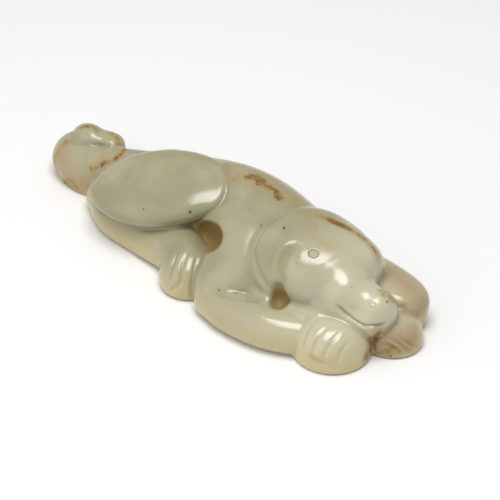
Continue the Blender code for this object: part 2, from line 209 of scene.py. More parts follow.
# %% Legs and paws
SHANK = [(-25.6, -2.4, 2.4, 3.8), (-20.4, -4.9, 2.2, 3.8), (-13.8, -5.5, 2.2, 3.5), (-7, -5.8, 2.6, 3.4)]
INSTEP = [(-9.5, -2.0, 3.0, 4.2), (-6.2, -4.4, 3.9, 3.5), (-1.9, -6.8, 2.8, 4.1)]
HIND_PAW = ball((-1.1, -7.5, 1.9), (5.0, 5.0, 4.4), edge=2.2)
SHOULDER = ball((6.8, -1.4, 6.0), (7.4, 9.2, 6.5), yaw=18, roll=34, edge=2.2)
ELBOW = ball((7.0, -7.2, 3.0), (5.3, 4.7, 4.6), yaw=25, edge=2.2)
FOREARM = [(6.9, -9.4, 2.4, 3.6), (12, -10.2, 2.6, 3.5), (19, -9.1, 2.6, 3.4), (26, -5.0, 2.4, 3.3)]
FAR_FOREARM = [(9, 7.6, 4.4, 4.4), (14, 8.8, 3.8, 4.2), (19, 9.2, 3.4, 4.0)]
FAR_WRIST = ball((25.2, 9.5, 3.2), (9.1, 4.8, 4.2), yaw=-3, roll=-9, edge=3.8, plan=2.8)
EAR_REST = [(11.5, -5.0, 4.4, 3.0), (17.0, -6.0, 3.7, 2.8), (24.5, -3.5, 4.4, 2.8)]
CHEST = ball((15.0, -3.0, 1.6), (8.0, 6.5, 3.2), edge=2.2)
THROAT = ball((23.5, 3.0, 2.6), (9.0, 7.5, 4.6), edge=2.2)
NEAR_PAW = ball((27.2, -3.9, 1.0), (6.5, 6.3, 5.6), edge=2.3)
FAR_PAW = ball((31.4, 4.8, 0.9), (6.0, 5.2, 5.0), edge=2.2)


def hind_leg(p):
    """The shank, the instep and the paw of the near hind leg."""
    leg = join(to_limb(p, SHANK), to_limb(p, INSTEP), SOFT)
    return join(leg, to_ball(p, HIND_PAW), FIRM)


print("near forepaw, mm:", 2 * NEAR_PAW["radii"])

# %% [markdown]
# The head is a smooth egg with two brows, a cylinder of a muzzle and a soft jaw. The near ear is
# a leaf laid back along the cheek, and the far ear only shows as a sliver on the other side.

# %% Head and tail
SKULL = ball((17.9, 2.7, 8.8), (9.8, 8.4, 6.6), yaw=10, pitch=-15, roll=12, edge=2.5, plan=2.25)
FAR_BROW = ball((22.9, 6.2, 9.3), (4.5, 3.8, 4.6), yaw=20, pitch=-10, edge=2.2)
BROW = ball((18.7, -0.5, 9.3), (4.8, 4.6, 4.7), pitch=-10, roll=25)
FOREHEAD = ball((25.7, 0.5, 7.8), (3.7, 4.1, 4.3), pitch=-12)
MUZZLE = [(21.5, 2.3, 8.6, 5.4), (24.3, 1.9, 7.7, 4.6), (26.6, 1.8, 7.2, 3.8), (29.2, 1.9, 7.1, 3.55),
          (31.2, 2.1, 7.1, 3.4)]
JAW = [(23.5, -0.6, 6.0, 4.2), (28, 0.0, 6.0, 3.2), (31.4, 0.7, 6.0, 2.7)]
EAR = [(12.8, 2.4, 11.2, 4.0), (11.8, -1.2, 10.2, 3.5), (12.6, -3.4, 8.2, 3.1), (14.8, -4.4, 6.4, 2.4),
       (16.2, -4.8, 5.2, 1.5)]
FAR_EAR = [(14.0, 6.6, 11.2, 2.6), (18.5, 8.6, 10.0, 2.6), (23.0, 9.0, 8.6, 2.4), (25.4, 9.0, 6.4, 1.5)]
TAIL = [(-22, 3.4, 6.8, 3.2), (-27.5, 1.8, 5.3, 3.4), (-32.5, 0.3, 3.6, 3.7), (-37.3, 0.3, 3.0, 3.5),
        (-38.9, 2.6, 3.2, 3.1), (-36.4, 4.9, 2.7, 2.9)]
TAIL_FOOT = ball((-34.3, 1.4, 0.6), (6.5, 4.7, 3.6), yaw=-8, edge=2.4)
TAIL_TIP = ball((-36.8, 3.9, 5.4), (3.6, 2.7, 2.8))
TAIL_WHORL = ball((-33.4, 5.1, 4.7), (2.7, 2.4, 2.8), yaw=10, edge=2.8, plan=2.6)


def head(p):
    """The skull, brows, muzzle, jaw and ears."""
    d = join(to_ball(p, SKULL), to_ball(p, BROW), SOFT)
    d = join(d, to_ball(p, FAR_BROW), FIRM)
    d = join(d, to_ball(p, FOREHEAD), FIRM)
    d = join(d, to_limb(p, MUZZLE), SOFT)
    d = join(d, to_limb(p, JAW), CRISP)
    d = join(d, to_limb(p, EAR), SOFT)
    return join(d, to_limb(p, FAR_EAR), CRISP)


def tail(p):
    """The tail with its thick foot and its curled tip."""
    d = join(to_limb(p, TAIL), to_ball(p, TAIL_FOOT), FIRM)
    return join(d, join(to_ball(p, TAIL_TIP), to_ball(p, TAIL_WHORL), FIRM), CRISP)


print("skull, mm:", 2 * SKULL["radii"], "and the tail's course in", len(smooth_line(TAIL)), "points")

# %% [markdown]
# Two pits were sunk with a drill where the carver opened the space behind the elbow and in front
# of the ear. They are rounded at the bottom and stop before they come through. The hind leg is
# joined after its pit is taken away, so that the foot still lies over the pit's near edge.

# %% The whole carving as one distance
FLANK_PIT = [(3.2, -7.7, 12.0, 2.4), (1.8, -6.3, 10.5, 2.5), (0.1, -4.4, 8.4, 2.5), (-1.5, -3.4, 7.4, 2.4),
             (-2.4, -3.2, 7.0, 2.2)]
EAR_PIT = [(17.4, -6.6, 8.0, 0.9), (18.0, -6.3, 6.5, 1.5)]
BASE_ROUND = 0.7


def carving(p):
    """How far each place is outside the finished carving; below zero is stone."""
    d = join(trunk(p), to_ball(p, SHOULDER), SOFT)
    d = join(d, join(to_ball(p, ELBOW), to_ball(p, SHOULDER), SOFT), CRISP)
    d = join(d, to_limb(p, FOREARM), CRISP)
    d = join(-join(-d, to_limb(p, FLANK_PIT), CRISP), hind_leg(p), CRISP)
    d = join(d, to_ball(p, HAUNCH), CRISP)
    d = join(d, join(to_limb(p, FAR_FOREARM), to_ball(p, FAR_WRIST), FIRM), FIRM)
    d = join(d, to_limb(p, EAR_REST), FIRM)
    d = join(d, join(to_ball(p, THROAT), to_ball(p, CHEST), FIRM), FIRM)
    d = join(d, to_ball(p, FAR_PAW), CRISP)
    d = join(d, to_ball(p, NEAR_PAW), CRISP)
    d = join(d, head(p), CRISP)
    d = join(d, tail(p), FIRM)
    d = -join(-d, to_limb(p, EAR_PIT), FIRM)
    return -join(-d, p[:, 2], BASE_ROUND)


# %% [markdown]
# ## The skin
#
# The skin starts as the solid itself, laid over with an even net of small squares by a voxel
# remesh. It is eased and settled onto the forms in two rounds, a coarse one that brings it close
# and a fine one that keeps points about a third of a millimetre apart, as fine as the polish shows.

# %% Helpers for points and meshes
PROBE = 0.02
EASE = 0.5
LEAST_STEEP = 0.5
LONGEST_STEP = 0.5


def positions(mesh):
    """A mesh's points as rows."""
    flat = np.empty(3 * len(mesh.vertices))
    mesh.vertices.foreach_get("co", flat)
    return flat.reshape(-1, 3)


def place_points(mesh, points):
    """Write the points back to a mesh."""
    mesh.vertices.foreach_set("co", points.astype(np.float32).ravel())
    mesh.update()


def plain_mesh(source):
    """The mesh of an object with its modifiers."""
    bpy.context.view_layer.update()
    graph = bpy.context.evaluated_depsgraph_get()
    return bpy.data.meshes.new_from_object(source.evaluated_get(graph))


def bake_modifiers(piece):
    """Keep what the modifiers make, and remove them."""
    mesh = plain_mesh(piece)
    old = piece.data
    piece.modifiers.clear()
    piece.data = mesh
    bpy.data.meshes.remove(old)


def ease_skin(mesh):
    """Even out the spacing of the skin's points."""
    shape = bmesh.new()
    shape.from_mesh(mesh)
    bmesh.ops.smooth_vert(shape, verts=shape.verts, factor=EASE,
                          use_axis_x=True, use_axis_y=True, use_axis_z=True)
    shape.to_mesh(mesh)
    shape.free()


def settle(points):
    """One move of each point along the slope of the distance, to the carving's surface."""
    here = carving(points)
    slope = np.stack([(carving(points + PROBE * way) - here) / PROBE for way in np.eye(3)], 1)
    steep = np.maximum((slope * slope).sum(1), LEAST_STEEP)
    step = np.clip(here / steep, -LONGEST_STEP, LONGEST_STEP)
    return points - step[:, None] * slope


def net(piece, spacing):
    """Lay an even net of squares over the piece."""
    remesh = piece.modifiers.new("net", "REMESH")
    remesh.mode = "VOXEL"
    remesh.voxel_size = spacing
    bake_modifiers(piece)


# %% [markdown]
# The net follows the form better with each round, and a last settling after them takes away what
# the easing left. How far the furthest point still is from the forms is measured at the end.

# %% The fine skin
COARSE, FINE = 0.6, (0.3)
COARSE_ROUNDS, FINE_ROUNDS = 3, 3
SAME_PLACE = 1e-6

skin = bpy.data.meshes.new_from_object(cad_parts[NODE])
shape = bmesh.new()
shape.from_mesh(skin)
bmesh.ops.remove_doubles(shape, verts=shape.verts, dist=SAME_PLACE)
shape.to_mesh(skin)
shape.free()
place_points(skin, positions(skin) / MM + LAYOUT_MIDDLE)
dog = bpy.data.objects.new("jade_hound", skin)
bpy.context.scene.collection.objects.link(dog)
for spacing, rounds in ((COARSE, COARSE_ROUNDS), (FINE, FINE_ROUNDS)):
    net(dog, spacing)
    for turn in range(rounds):
        ease_skin(dog.data)
        place_points(dog.data, settle(positions(dog.data)))
    place_points(dog.data, settle(positions(dog.data)))
points = positions(dog.data)
print("skin:", len(points), "points, mm from", points.min(0).round(2), "to", points.max(0).round(2))
print("furthest point from the forms, mm:", round(float(np.abs(carving(points)).max()), 3))

# %% [markdown]
# ## Incised lines
#
# Toes, mouth, eye and ear were cut with small wheels into the polished form. Each line is drawn
# where it is seen in the photograph and laid on the stone along the line of sight. One Geometry
# Nodes tree does the cutting: it snaps the lines to the surface, measures how far each point of
# the skin is from the nearest line, and presses the skin in by a rounded profile.

# %% Laying a drawing on the stone
FADED = 0.15
stone = BVHTree.FromPolygons([tuple(p) for p in points], [tuple(f.vertices) for f in dog.data.polygons])


def on_stone(pixel):
    """Where the line of sight through a pixel meets the carving, or its edge where it just misses."""
    way = sight_line(pixel)
    hit = stone.ray_cast(Vector(eye_point), Vector(way))[0]
    if hit is None:
        beside = eye_point + way * CAMERA_AWAY
        hit = stone.find_nearest(Vector(beside))[0]
    return np.array(hit)


def ring(centre, half_width, half_height, count=16):
    """Pixels round a small oval."""
    return [(centre[0] + half_width * math.cos(a), centre[1] + half_height * math.sin(a))
            for a in np.linspace(0, 2 * math.pi, count + 1)]


def line_object(name, lines):
    """Curves through lines of points, whose last column is how strongly each point cuts."""
    curve = bpy.data.curves.new(name, "CURVE")
    curve.dimensions = "3D"
    for line in lines:
        spline = curve.splines.new("POLY")
        points = smooth_line(line)
        spline.points.add(len(points) - 1)
        for knot, (x, y, z, strength) in zip(spline.points, points):
            knot.co = (x, y, z, 1.0)
            knot.radius = strength
    made = bpy.data.objects.new(name, curve)
    bpy.context.scene.collection.objects.link(made)
    return made


def drawn(pixels, fade=True):
    """A line of the photograph laid on the stone, fading out at both ends."""
    last = len(pixels) - 1
    strengths = [FADED if fade and place in (0, last) else 1.0 for place in range(last + 1)]
    return [(*on_stone(pixel), strength) for pixel, strength in zip(pixels, strengths)]


print("middle of the photograph meets the stone at, mm:", on_stone((250, 250)).round(1))

# %% [markdown]
# The tree works like the wheel: the press is deepest on the line and falls off to the sides, and
# each line's own strength, kept as the radius of its curve, makes it shallow at its ends.

# %% The cutting tree
LINE_STEP = 0.15


def add(tree, kind, inputs=None, **settings):
    """Add a node with its settings, and its inputs as values or links."""
    node = tree.nodes.new(kind)
    for name, value in settings.items():
        setattr(node, name, value)
    for name, value in (inputs or {}).items():
        if isinstance(value, bpy.types.NodeSocket):
            tree.links.new(value, node.inputs[name])
        else:
            node.inputs[name].default_value = value
    return node


def cutting_tree(material):
    """Press lines into a skin: how wide and how deep are inputs, and less than zero raises it."""
    tree = bpy.data.node_groups.new("cut_lines", "GeometryNodeTree")
    for name, kind in (("Skin", "Geometry"), ("Lines", "Object"), ("Width", "Float"), ("Depth", "Float"),
                       ("Wall", "Float")):
        tree.interface.new_socket(name, in_out="INPUT", socket_type="NodeSocket" + kind)
    tree.interface.new_socket("Skin", in_out="OUTPUT", socket_type="NodeSocketGeometry")
    given = add(tree, "NodeGroupInput").outputs
    lines = add(tree, "GeometryNodeObjectInfo", {"Object": given["Lines"]}).outputs["Geometry"]
    radius = add(tree, "GeometryNodeInputRadius").outputs[0]
    kept = add(tree, "GeometryNodeStoreNamedAttribute",
               {"Geometry": lines, "Name": "strength", "Value": radius}, data_type="FLOAT", domain="POINT")
    fine = add(tree, "GeometryNodeResampleCurve", {"Curve": kept.outputs[0], "Length": LINE_STEP},
               mode="LENGTH")
    snap = add(tree, "GeometryNodeProximity", {"Geometry": given["Skin"]}, target_element="FACES")
    laid = add(tree, "GeometryNodeSetPosition",
               {"Geometry": fine.outputs[0], "Position": snap.outputs["Position"]})
    wire = add(tree, "GeometryNodeCurveToMesh", {"Curve": laid.outputs[0]}).outputs[0]
    away = add(tree, "GeometryNodeProximity", {"Geometry": wire}, target_element="EDGES")
    nearest = add(tree, "GeometryNodeSampleNearest", {"Geometry": wire}, domain="POINT")
    named = add(tree, "GeometryNodeInputNamedAttribute", {"Name": "strength"}, data_type="FLOAT")
    force = add(tree, "GeometryNodeSampleIndex", {"Geometry": wire, "Value": named.outputs[0],
                "Index": nearest.outputs[0]}, data_type="FLOAT", domain="POINT")
    share = add(tree, "ShaderNodeMath", {0: away.outputs["Distance"], 1: given["Width"]},
                operation="DIVIDE")
    steep = add(tree, "ShaderNodeMath", {0: share.outputs[0], 1: given["Wall"]}, operation="POWER")
    falling = add(tree, "ShaderNodeMath", {0: steep.outputs[0], 1: -1.0}, operation="MULTIPLY")
    profile = add(tree, "ShaderNodeMath", {0: falling.outputs[0]}, operation="EXPONENT")
    deep = add(tree, "ShaderNodeMath", {0: profile.outputs[0], 1: given["Depth"]}, operation="MULTIPLY")
    forced = add(tree, "ShaderNodeMath", {0: deep.outputs[0], 1: force.outputs[0]}, operation="MULTIPLY")
    inward = add(tree, "ShaderNodeMath", {0: forced.outputs[0], 1: -1.0}, operation="MULTIPLY")
    outward = add(tree, "GeometryNodeInputNormal").outputs[0]
    shift = add(tree, "ShaderNodeVectorMath", {0: outward, "Scale": inward.outputs[0]}, operation="SCALE")
    moved = add(tree, "GeometryNodeSetPosition", {"Geometry": given["Skin"], "Offset": shift.outputs[0]})
    real = add(tree, "GeometryNodeRealizeInstances", {"Geometry": moved.outputs[0]})
    faced = add(tree, "GeometryNodeSetMaterial", {"Geometry": real.outputs[0], "Material": material})
    add(tree, "NodeGroupOutput", {"Skin": faced.outputs[0]})
    return tree


jade = bpy.data.materials.new("polished_nephrite")
cut_lines = cutting_tree(jade)
print("cutting tree:", len(cut_lines.nodes), "nodes")

# %% Cutting a set of lines
BETWEEN_SMOOTH = 0.6
ROUND_PROFILE, FLAT_FLOOR = 2.0, 10.0


def socket_named(tree, name):
    """The identifier of a modifier's input."""
    inputs = [item for item in tree.interface.items_tree if item.in_out == "INPUT"]
    return next(item.identifier for item in inputs if item.name == name)


def refine(lines, reach):
    """Halve the squares of the skin near a set of lines, so that a narrow cut stays clean."""
    places = np.vstack([smooth_line(line)[:, :3] for line in lines])
    tree = KDTree(len(places))
    for number, place in enumerate(places):
        tree.insert(Vector(place), number)
    tree.balance()
    shape = bmesh.new()
    shape.from_mesh(dog.data)
    near = {vert for vert in shape.verts if tree.find(vert.co)[2] < reach}
    edges = [edge for edge in shape.edges if edge.verts[0] in near and edge.verts[1] in near]
    bmesh.ops.subdivide_edges(shape, edges=edges, cuts=1, use_grid_fill=True, smooth=BETWEEN_SMOOTH)
    shape.to_mesh(dog.data)
    shape.free()


def cut(name, lines, width, depth, fine=0.0, wall=ROUND_PROFILE):
    """Cut a set of lines into the dog, in millimetres. A depth below zero raises them."""
    if fine:
        refine(lines, fine)
    guide = line_object(name, lines)
    carve = dog.modifiers.new(name, "NODES")
    carve.node_group = cut_lines
    for given, value in (("Lines", guide), ("Width", width), ("Depth", depth), ("Wall", wall)):
        carve[socket_named(cut_lines, given)] = value
    bake_modifiers(dog)
    bpy.data.objects.remove(guide)
    print(name, len(lines), "lines, width", width, "depth", depth)


# %% [markdown]
# The haunch's disc has a rim that stands up a little at its front end, a ledge under it, and a
# shallow hollow along the shank. On the far side the rim is cut in the same way but plainer, and
# the far foreleg ends in three short toes.

# %% Haunch: the rim of its disc, the ledge under it and the hollow of the shank
HAUNCH_RIM = [(196, 154), (206, 159), (215, 166.5), (221, 176), (222.5, 186), (220, 197),
              (213, 206.5), (203, 213)]
HAUNCH_LEDGE = [(98, 209), (111, 215.5), (126, 220), (145, 224), (160, 225), (175, 224), (192, 221)]
cut("haunch_rim", [drawn(HAUNCH_RIM)], width=0.9, depth=-0.25)
cut("haunch_ledge", [drawn(HAUNCH_LEDGE)], width=0.5, depth=0.12)
SHANK_HOLLOW = [(102, 219), (117, 229), (134, 239), (152, 250), (162, 262)]
cut("shank_hollow", [drawn(SHANK_HOLLOW)], width=1.6, depth=0.4)

# %% Far side, which the photograph doesn't show: a rim and three toes, in millimetres
FAR_HAUNCH_RIM = [(-22.5, 8.5, 7.5, 0.2), (-17.0, 9.4, 9.2, 1.0), (-11.0, 9.6, 9.0, 1.0),
                  (-6.8, 10.0, 6.5, 1.0), (-5.8, 11.2, 3.4, 1.0), (-8.5, 11.8, 1.5, 0.2)]
FAR_PAW_TOES = [[(34.2, 8.4 + step, 5.6, 0.15), (35.6, 8.4 + step, 4.2, 1.0), (36.0, 8.4 + step, 2.2, 0.15)]
                for step in (0.0, 1.7, 3.4)]
cut("far_haunch_rim", [FAR_HAUNCH_RIM], width=0.7, depth=0.32)
cut("far_wrist_toes", FAR_PAW_TOES, width=0.4, depth=0.16, fine=0.9)

# %% [markdown]
# Toes are short grooves, narrow against the skin's squares, so the skin is made finer along them
# first. The hind foot's grooves reach the ground and the forepaws' stay on the top.

# %% Paws: the cuts between the toes
HIND_TOES = [[(180, 249), (174, 262), (170, 276), (169, 288)],
             [(188, 251), (182.5, 265), (179, 284), (178, 299)],
             [(197, 257), (194, 270), (191.5, 286), (191, 300)]]
NEAR_TOES = [[(317, 320), (308, 331), (303, 343), (301.5, 354)],
             [(329, 325), (319, 336), (313, 348), (311.5, 360)],
             [(341, 331), (331, 342), (325, 353), (323, 364)],
             [(351, 339), (343, 349), (338, 358), (336, 366)]]
FAR_TOES = [[(379, 343), (388, 345), (398, 351), (404, 356)],
            [(397, 334), (404, 340), (412, 345), (420, 347)],
            [(386, 336), (397, 342), (406, 349), (413, 352)]]
cut("hind_toes", [drawn(line) for line in HIND_TOES], width=0.34, depth=0.26, fine=1.2)
cut("near_toes", [drawn(line) for line in NEAR_TOES], width=0.34, depth=0.18, fine=1.2)
cut("far_toes", [drawn(line) for line in FAR_TOES], width=0.42, depth=0.4, fine=1.0)

# %% [markdown]
# The mouth is one curved cut. The eye is the flat floor that a small tubular drill leaves, 1.6 mm
# across, and the nostril is a finer ring of the same kind.

# %% Face: mouth, eye and nostril
MOUTH = [(335, 304), (343.5, 311.5), (350.5, 317.5), (357, 322.5), (363, 325.5), (373, 326), (381, 325),
         (387, 322)]
EYE = (313.5, 253.5)
EYE_LINE = [(EYE[0] - 0.6, EYE[1]), (EYE[0] + 0.6, EYE[1])]
EYE_RADIUS, EYE_DEPTH = 0.78, 0.14
NOSTRIL = (371.5, 305.5)
NOSTRIL_RING = (3.0, 2.4)
cut("mouth", [drawn(MOUTH)], width=0.3, depth=0.45, fine=1.0)
for reach in (1.6, 1.2):
    refine([drawn([EYE, (EYE[0] + 1, EYE[1])])], reach)
cut("eye", [drawn(EYE_LINE, fade=False)], width=EYE_RADIUS, depth=EYE_DEPTH, wall=FLAT_FLOOR)
cut("nostril", [drawn(ring(NOSTRIL, *NOSTRIL_RING), fade=False)], width=0.2, depth=0.08, fine=0.8)

# %% [markdown]
# The near ear is a leaf: a line behind it, a hollow in front and a soft ridge down its middle. The
# far ear shows only as an edge over the brow. The elbow is marked off from the shoulder by a fold.

# %% Folds: the ears and the elbow
EAR_BACK = [(292, 211), (279, 217), (266, 227), (257.5, 240), (254, 254), (257, 267), (263, 279),
            (271, 291)]
EAR_RIDGE = [(295, 240), (285, 245), (277.5, 253), (274.5, 264), (272.5, 276), (274, 288)]
EAR_FRONT = [(300, 246), (290, 250), (284, 258), (281.5, 268), (281, 280), (283, 292)]
ELBOW_FOLD = [(212, 292), (222, 295), (236, 298), (250, 300), (264, 299)]
cut("ear_back", [drawn(EAR_BACK)], width=0.45, depth=0.25)
cut("ear_front", [drawn(EAR_FRONT)], width=1.0, depth=0.5)
cut("ear_ridge", [drawn(EAR_RIDGE)], width=0.8, depth=-0.18)
cut("elbow_fold", [drawn(ELBOW_FOLD)], width=0.8, depth=0.35)

FAR_EAR_EDGE = [(346, 224.5), (356, 230), (366, 237), (375, 246.5), (380.5, 257)]
cut("far_ear_edge", [drawn(FAR_EAR_EDGE)], width=0.3, depth=0.22, fine=0.9)

# %% [markdown]
# The tail curls up in a knob and a second whorl. A fold runs under both, a notch parts them, and a
# thin ridge leads from the rump onto the curl.

# %% Tail: the fold under the knob, the notch beside it and the ridge of the root
TAIL_FOLD = [(66, 140), (75, 142.5), (88, 144.5), (101, 146), (112, 145)]
TAIL_NOTCH = [(97.5, 126.5), (98.2, 130), (98.6, 133)]
TAIL_RIDGE = [(86, 158), (96.5, 154), (107, 151), (121, 148.5), (132, 147.5)]
cut("tail_fold", [drawn(TAIL_FOLD), drawn(TAIL_NOTCH)], width=0.45, depth=0.4)
cut("tail_ridge", [drawn(TAIL_RIDGE)], width=0.5, depth=-0.3)
triangles = sum(len(face.vertices) - 2 for face in dog.data.polygons)
print("cut skin:", len(dog.data.vertices), "points,", triangles, "triangles")

# %% [markdown]
# ## Where the stone is stained
#
# A pebble's skin is russet where iron soaked in, and the carver left some of it on the spine, the
# brow, the tail and the far paws. Each stain is a soft stroke on the surface: its course is taken
# from the photograph, and the skin's points near it hold how strongly they are stained. Russet
# streaks and the even warmth of the far paws, the tail and the spine are kept apart, because only
# the streaks are ragged.
# One stroke among them, in front of the ear, is painted shade in that hollow, tinted brown.

# %% Stains as a colour strength on the skin
def stroke(pixels, radius, strength):
    """A stain along a line of the photograph: its half width in millimetres, and how strong it is."""
    return [(*on_stone(pixel), radius) for pixel in pixels], strength


STAINS_AND_SHADE = [
    stroke([(250, 176), (258, 178.5), (266, 186), (274, 192), (279, 197)], 1.0, 1.0),
    stroke([(233, 179), (246, 176), (262, 181), (280, 193), (297, 205)], 1.0, 0.5),
    stroke([(203, 153), (222, 159), (240, 166), (257, 172), (275, 181)], 0.5, 0.45),
    stroke([(299, 211), (311, 214), (323, 217.5), (332, 220)], 0.45, 0.5),
    stroke([(330, 220), (340, 224.5), (349, 228.5)], 0.35, 0.95),
    stroke([(348, 227.5), (357, 233), (366, 240)], 0.4, 0.62),
    stroke([(309, 222), (314, 232), (321, 242), (331, 249)], 1.7, 0.3),
    stroke([(366, 240), (373, 248), (378, 257)], 0.3, 0.5),
    stroke([(92, 168), (104, 163), (113, 159), (120, 154), (125, 151)], 0.8, 0.7),
    stroke([(57, 171), (55, 159), (61, 147), (68, 140)], 0.9, 0.55),
    stroke([(58, 176), (66, 183), (76, 188)], 1.3, 0.6),
    stroke([(86, 160), (80, 172), (82, 184)], 1.6, 0.3),
    stroke([(81, 128), (90, 126.5), (96, 129)], 0.5, 0.5),
    stroke([(110, 133), (117, 138), (119, 145)], 0.4, 0.5),
    stroke([(150, 160), (163, 153), (178, 155)], 1.2, 0.36),
    stroke([(166, 170), (171, 180)], 0.5, 0.33),
    stroke([(380, 353), (396, 349), (412, 345)], 1.4, 0.5),
    stroke([(366, 357), (373, 346), (379, 333)], 0.6, 0.8),
    stroke([(381, 291), (390, 299), (402, 306)], 0.6, 0.6),
    stroke([(404, 314), (418, 313), (426, 303)], 0.8, 0.42),
    # Painted shade, tinted brown: this stroke darkens the hollow in front of the ear.
    stroke([(281, 262), (281, 275), (283, 291)], 1.5, 0.26),
    stroke([(384, 290), (394, 301), (404, 306)], 0.8, 0.5),
    stroke([(196, 228), (207, 232)], 0.9, 0.5),
    stroke([(309, 355), (319, 361), (331, 364)], 0.2, 0.34),
]
WARMTH = [
    stroke([(384, 348), (398, 342), (412, 336)], 3.6, 0.75),
    stroke([(394, 272), (410, 286), (421, 300)], 4.8, 0.75),
    stroke([(366, 357), (373, 344), (377, 331)], 1.0, 0.6),
    stroke([(58, 158), (64, 172), (80, 186)], 3.2, 0.6),
    stroke([(100, 160), (118, 153)], 0.8, 0.2),
    stroke([(228, 172), (244, 178), (262, 184)], 1.6, 0.5),
    stroke([(240, 166), (262, 174), (285, 188), (302, 203)], 0.9, 0.45),
    stroke([(312, 214), (340, 224), (366, 241), (379, 260)], 0.7, 0.4),
    stroke([(308, 222), (320, 236), (331, 246)], 1.8, 0.2),
]


def paint(name, values):
    """Keep a number on each point of the skin."""
    layer = dog.data.attributes.new(name, "FLOAT", "POINT")
    layer.data.foreach_set("value", values.astype(np.float32))


STAIN_FADE = 1.1
STAINED = 0.3
points = positions(dog.data)


def soaked(strokes):
    """How strongly each point of the skin is stained by a set of strokes."""
    stained = np.zeros(len(points))
    for rows, strength in strokes:
        radius = rows[0][3]
        from_line = np.maximum(to_limb(points, rows), -radius) + radius
        inside = np.clip(1 - from_line / (STAIN_FADE + radius), 0, 1)
        stained = np.maximum(stained, strength * inside * inside * (3 - 2 * inside))
    return stained


stained = soaked(STAINS_AND_SHADE)
paint("stain", stained)
paint("warm", soaked(WARMTH))
print("stained share of the skin:", round(float((stained > STAINED).mean()), 3))

# %% [markdown]
# The drill's wall was never polished, so it stays matt; it is also painted olive, partly as painted shade
# for the dim light deep inside the pit. It is where the skin lies on the pit's own surface and not on the
# foot in front of it.

# %% The walls of the pits
WALL_FULL, WALL_BAND, FOOT_BAND = 1.3, 0.25, 0.3
drilled = np.zeros(len(points))
for pit in (FLANK_PIT, EAR_PIT):
    drilled = np.maximum(drilled, np.clip(WALL_FULL - np.abs(to_limb(points, pit)) / WALL_BAND, 0, 1))
drilled *= np.clip(hind_leg(points) / FOOT_BAND, 0, 1)
# The drilled strength makes the walls matt and also paints them olive, partly as painted shade.
paint("drilled", drilled)
print("drilled share of the skin:", round(float((drilled > STAINED).mean()), 3))

# %% [markdown]
# The hollows are painted darker, partly for wax and dust that stay there after the polish and partly as
# painted shade in the creases. A point lies in a hollow when the skin round it is, on the whole, further
# out than the point itself.

# %% Hollows
def gathered(values, edges, count):
    """The mean of each point's neighbours."""
    total = np.zeros((len(count), values.shape[1]))
    np.add.at(total, edges[:, 0], values[edges[:, 1]])
    np.add.at(total, edges[:, 1], values[edges[:, 0]])
    return total / count[:, None]


HOLLOW_ROUNDS, SOFTEN_ROUNDS = 6, 2
HOLLOW_DEPTH = 0.05
edges = np.empty(2 * len(dog.data.edges), int)
dog.data.edges.foreach_get("vertices", edges)
edges = edges.reshape(-1, 2)
count = np.bincount(edges.ravel(), minlength=len(points)).astype(float)
out = np.array([vert.normal for vert in dog.data.vertices])
mean = points
for turn in range(HOLLOW_ROUNDS):
    mean = gathered(mean, edges, count)
hollow = np.clip(((mean - points) * out).sum(1) / HOLLOW_DEPTH, 0, 1)[:, None]
for turn in range(SOFTEN_ROUNDS):
    hollow = gathered(hollow, edges, count)
# The hollow strength later darkens the skin, both as dust and as painted shade in the creases.
paint("hollow", hollow[:, 0])
print("hollow share of the skin:", round(float((hollow > STAINED).mean()), 3))

# %% [markdown]
# Nephrite often holds small black specks of iron or chrome ore. Each is given by its place in the
# photograph and its radius in millimetres.

# %% Dark specks in the stone
SPECK_PIXELS = [(190, 212, 0.3), (143.5, 209, 0.2), (127, 179, 0.15), (188.5, 204, 0.14),
                (197.5, 224.5, 0.16), (200.7, 224.5, 0.16), (307.6, 248, 0.16),
                (298.5, 256.6, 0.14), (310, 261, 0.14),
                (297, 263, 0.15), (284, 228, 0.3), (261, 225, 0.18), (250, 210, 0.16), (271, 287, 0.14),
                (275.6, 295.6, 0.16), (285, 292, 0.14), (387, 302, 0.22), (351.5, 287, 0.13),
                (218.6, 290, 0.24), (235.5, 293, 0.18), (390.6, 356, 0.25), (72, 180, 0.2),
                (228, 200, 0.15), (160, 216, 0.12), (131, 200, 0.12)]
SPECKS = [(*on_stone((px, py)), radius) for px, py, radius in SPECK_PIXELS]
print(len(SPECKS), "specks")

# %% [markdown]
# The finished skin goes from the layout's millimetres to the part's metres, with the low corner of
# its box on the low corner of the solid's.

# %% To the part's own metres
LAYOUT_TO_PART = np.array(low) - positions(dog.data).min(0) * MM


def in_part(point):
    """A place of the layout, in the part's metres."""
    return np.array(point) * MM + LAYOUT_TO_PART


place_points(dog.data, in_part(positions(dog.data)))
dog.data.shade_smooth()
print("skin, mm:", ((positions(dog.data).max(0) - positions(dog.data).min(0)) / MM).round(2))

# %% [markdown]
# ## The stone
#
# Nephrite polished with fine abrasive on leather: a waxy gloss, not a glassy one, because light goes a few
# millimetres in and comes out again. The celadon is never even: clouds of greyer and greener stone drift
# through it, and the stone low down is painted creamy, a painted glow for light that comes through the thin
# lower edges.

# %% Colours
def linear(code):
    """An sRGB hex colour as linear light, with its alpha."""
    parts = [int(code[i:i + 2], 16) / 255 for i in (1, 3, 5)]
    return (*[c / 12.92 if c <= 0.04045 else ((c + 0.055) / 1.055) ** 2.4 for c in parts], 1.0)


GREY_CELADON = linear("#969273")
PALE_CELADON = linear("#a8a285")
CLEAR_CELADON = linear("#c1bca0")
CREAM_GLOW = linear("#c9b886")
TAN = linear("#a08a52")
WARM_TAN = linear("#a58a63")
RUSSET = linear("#6b4616")
OCHRE = linear("#8d6a2e")
OLIVE_AND_PIT_SHADE = linear("#95793a")
DUST_AND_SHADE = linear("#6f6238")
SPECK = linear("#2c2414")
print("celadon, linear:", [round(value, 3) for value in PALE_CELADON])

